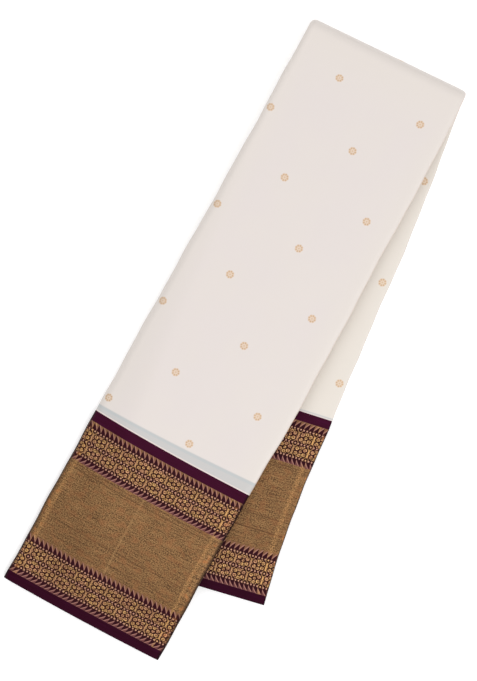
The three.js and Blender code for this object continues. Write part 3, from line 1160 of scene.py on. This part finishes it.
def cutEnd(leg, name):
    end = stretchesOf(leg)[-1]["end"]
    points, cloth = [], []
    for share in endPlies["stations"]:
        up = endPlies["length"] * share
        section = legSection(leg, end - up, endPlies["clothEnd"] - up)
        path = plyRibbon(section)
        kept = np.array([place for place in path if place is not None])
        row = placed(section, kept[:, 0], kept[:, 1])
        backs = plyBack[kept[:, 2].astype(int)] * (1 - share)
        row[:, 0] += section["direction"][1] * backs
        row[:, 1] += section["direction"][0] * backs
        points.append(row)
        cloth.append(np.column_stack([kept[:, 0], np.full(len(kept), section["clothDown"])]))
    pairs, count = [], 0
    for before, place in zip([None, *path], path):
        if place is not None:
            if before is not None:
                pairs.append((count - 1, count))
            count += 1
    faces = gridFaces(len(points), count, pairs)
    materials = [upperMaterials["selvedge"], layerMaterials["flowers"]]
    looks = [0] * len(faces)
    looks[: endPlies["woven"] * len(pairs)] = [1] * endPlies["woven"] * len(pairs)
    piece = meshObject(name, np.vstack(points), np.vstack(cloth), faces, looks, materials)
    thicken(piece, endPlies["thickness"], 0.0, 50)
    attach(piece, "root")


cutEnd(upperLeg, "upperCutEnd")
cutEnd(lowerLeg, "lowerCutEnd")
print("cut ends made")

# The pale floor
floorLook = {"size": 9.0, "colour": (0.85, 0.85, 0.85, 1.0), "glow": 0.3, "drop": 0.0002}
bpy.ops.object.select_all(action="DESELECT")
bpy.ops.mesh.primitive_plane_add(size=floorLook["size"], location=(0, 0, -floorLook["drop"]))
floor = bpy.context.object
floor.name = "floor"
floorMaterial = startMaterial("paleFloor", {
    "Base Color": floorLook["colour"],
    "Roughness": 0.9,
    "Specular IOR Level": 0.0,
    "Emission Color": (1, 1, 1, 1),
    "Emission Strength": floorLook["glow"],
})[0]
floor.data.materials.append(floorMaterial)
floor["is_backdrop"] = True

# Soft light from two large panels and the room
lightPlan = {
    "roomAbove": 0.94,
    "roomAside": 0.35,
    "panels": [
        {"name": "leftPanel", "place": (-1.5, 0.5, 1.9), "size": 1.8, "power": 8.0},
        {"name": "rightPanel", "place": (1.3, -0.4, 2.1), "size": 1.8, "power": 27.0},
    ],
}
world = bpy.data.worlds.new("room")
bpy.context.scene.world = world
world.use_nodes = True
work["tree"] = world.node_tree
heading = addNode("ShaderNodeTexCoord", {}, {}).outputs["Generated"]
upward = addNode("ShaderNodeSeparateXYZ", {}, {0: heading}).outputs[2]
roomLight = ramp(upward, 0.0, 0.8, lightPlan["roomAside"], lightPlan["roomAbove"])
setInputs(world.node_tree.nodes["Background"], {0: (1, 1, 1, 1), 1: roomLight})
for panel in lightPlan["panels"]:
    lamp = bpy.data.lights.new(panel["name"], "AREA")
    lamp.shape = "SQUARE"
    lamp.size = panel["size"]
    lamp.energy = panel["power"]
    holder = bpy.data.objects.new(panel["name"], lamp)
    holder.location = panel["place"]
    holder.rotation_euler = (-Vector(panel["place"])).to_track_quat("-Z", "Y").to_euler()
    bpy.context.scene.collection.objects.link(holder)
bpy.context.scene.view_settings.view_transform = "Standard"

# Straight above, turned so that the upper leg runs down to the lower left
cameraPlan = {
    "turn": 28.585,
    "lens": 150.0,
    "sensor": 36.0,
    "middle": (88.9, 319.0),  # across and down, at the height that the frame is measured at
    "height": 18.0,
    "frame": 679.6,  # how much the long side of the view takes in
}
camera = bpy.data.cameras.new("camera")
camera.lens = cameraPlan["lens"]
camera.sensor_width = cameraPlan["sensor"]
camera.clip_end = 20.0
viewer = bpy.data.objects.new("camera", camera)
viewer.location = (
    (cameraPlan["middle"][0] + frameShift[0]) * mm,
    (-cameraPlan["middle"][1] + frameShift[1]) * mm,
    (cameraPlan["height"] + cameraPlan["frame"] * cameraPlan["lens"] / cameraPlan["sensor"]) * mm,
)
viewer.rotation_euler = (0, 0, math.radians(cameraPlan["turn"]))
bpy.context.scene.collection.objects.link(viewer)
bpy.context.scene.camera = viewer
print("stage made")

low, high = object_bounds()
boxes = [[round(value, 4) for value in (*a, *b)] for a, b in ((cadLow, cadHigh), (low, high))]
print("box of the frame", boxes[0], "and of the cloth", boxes[1])
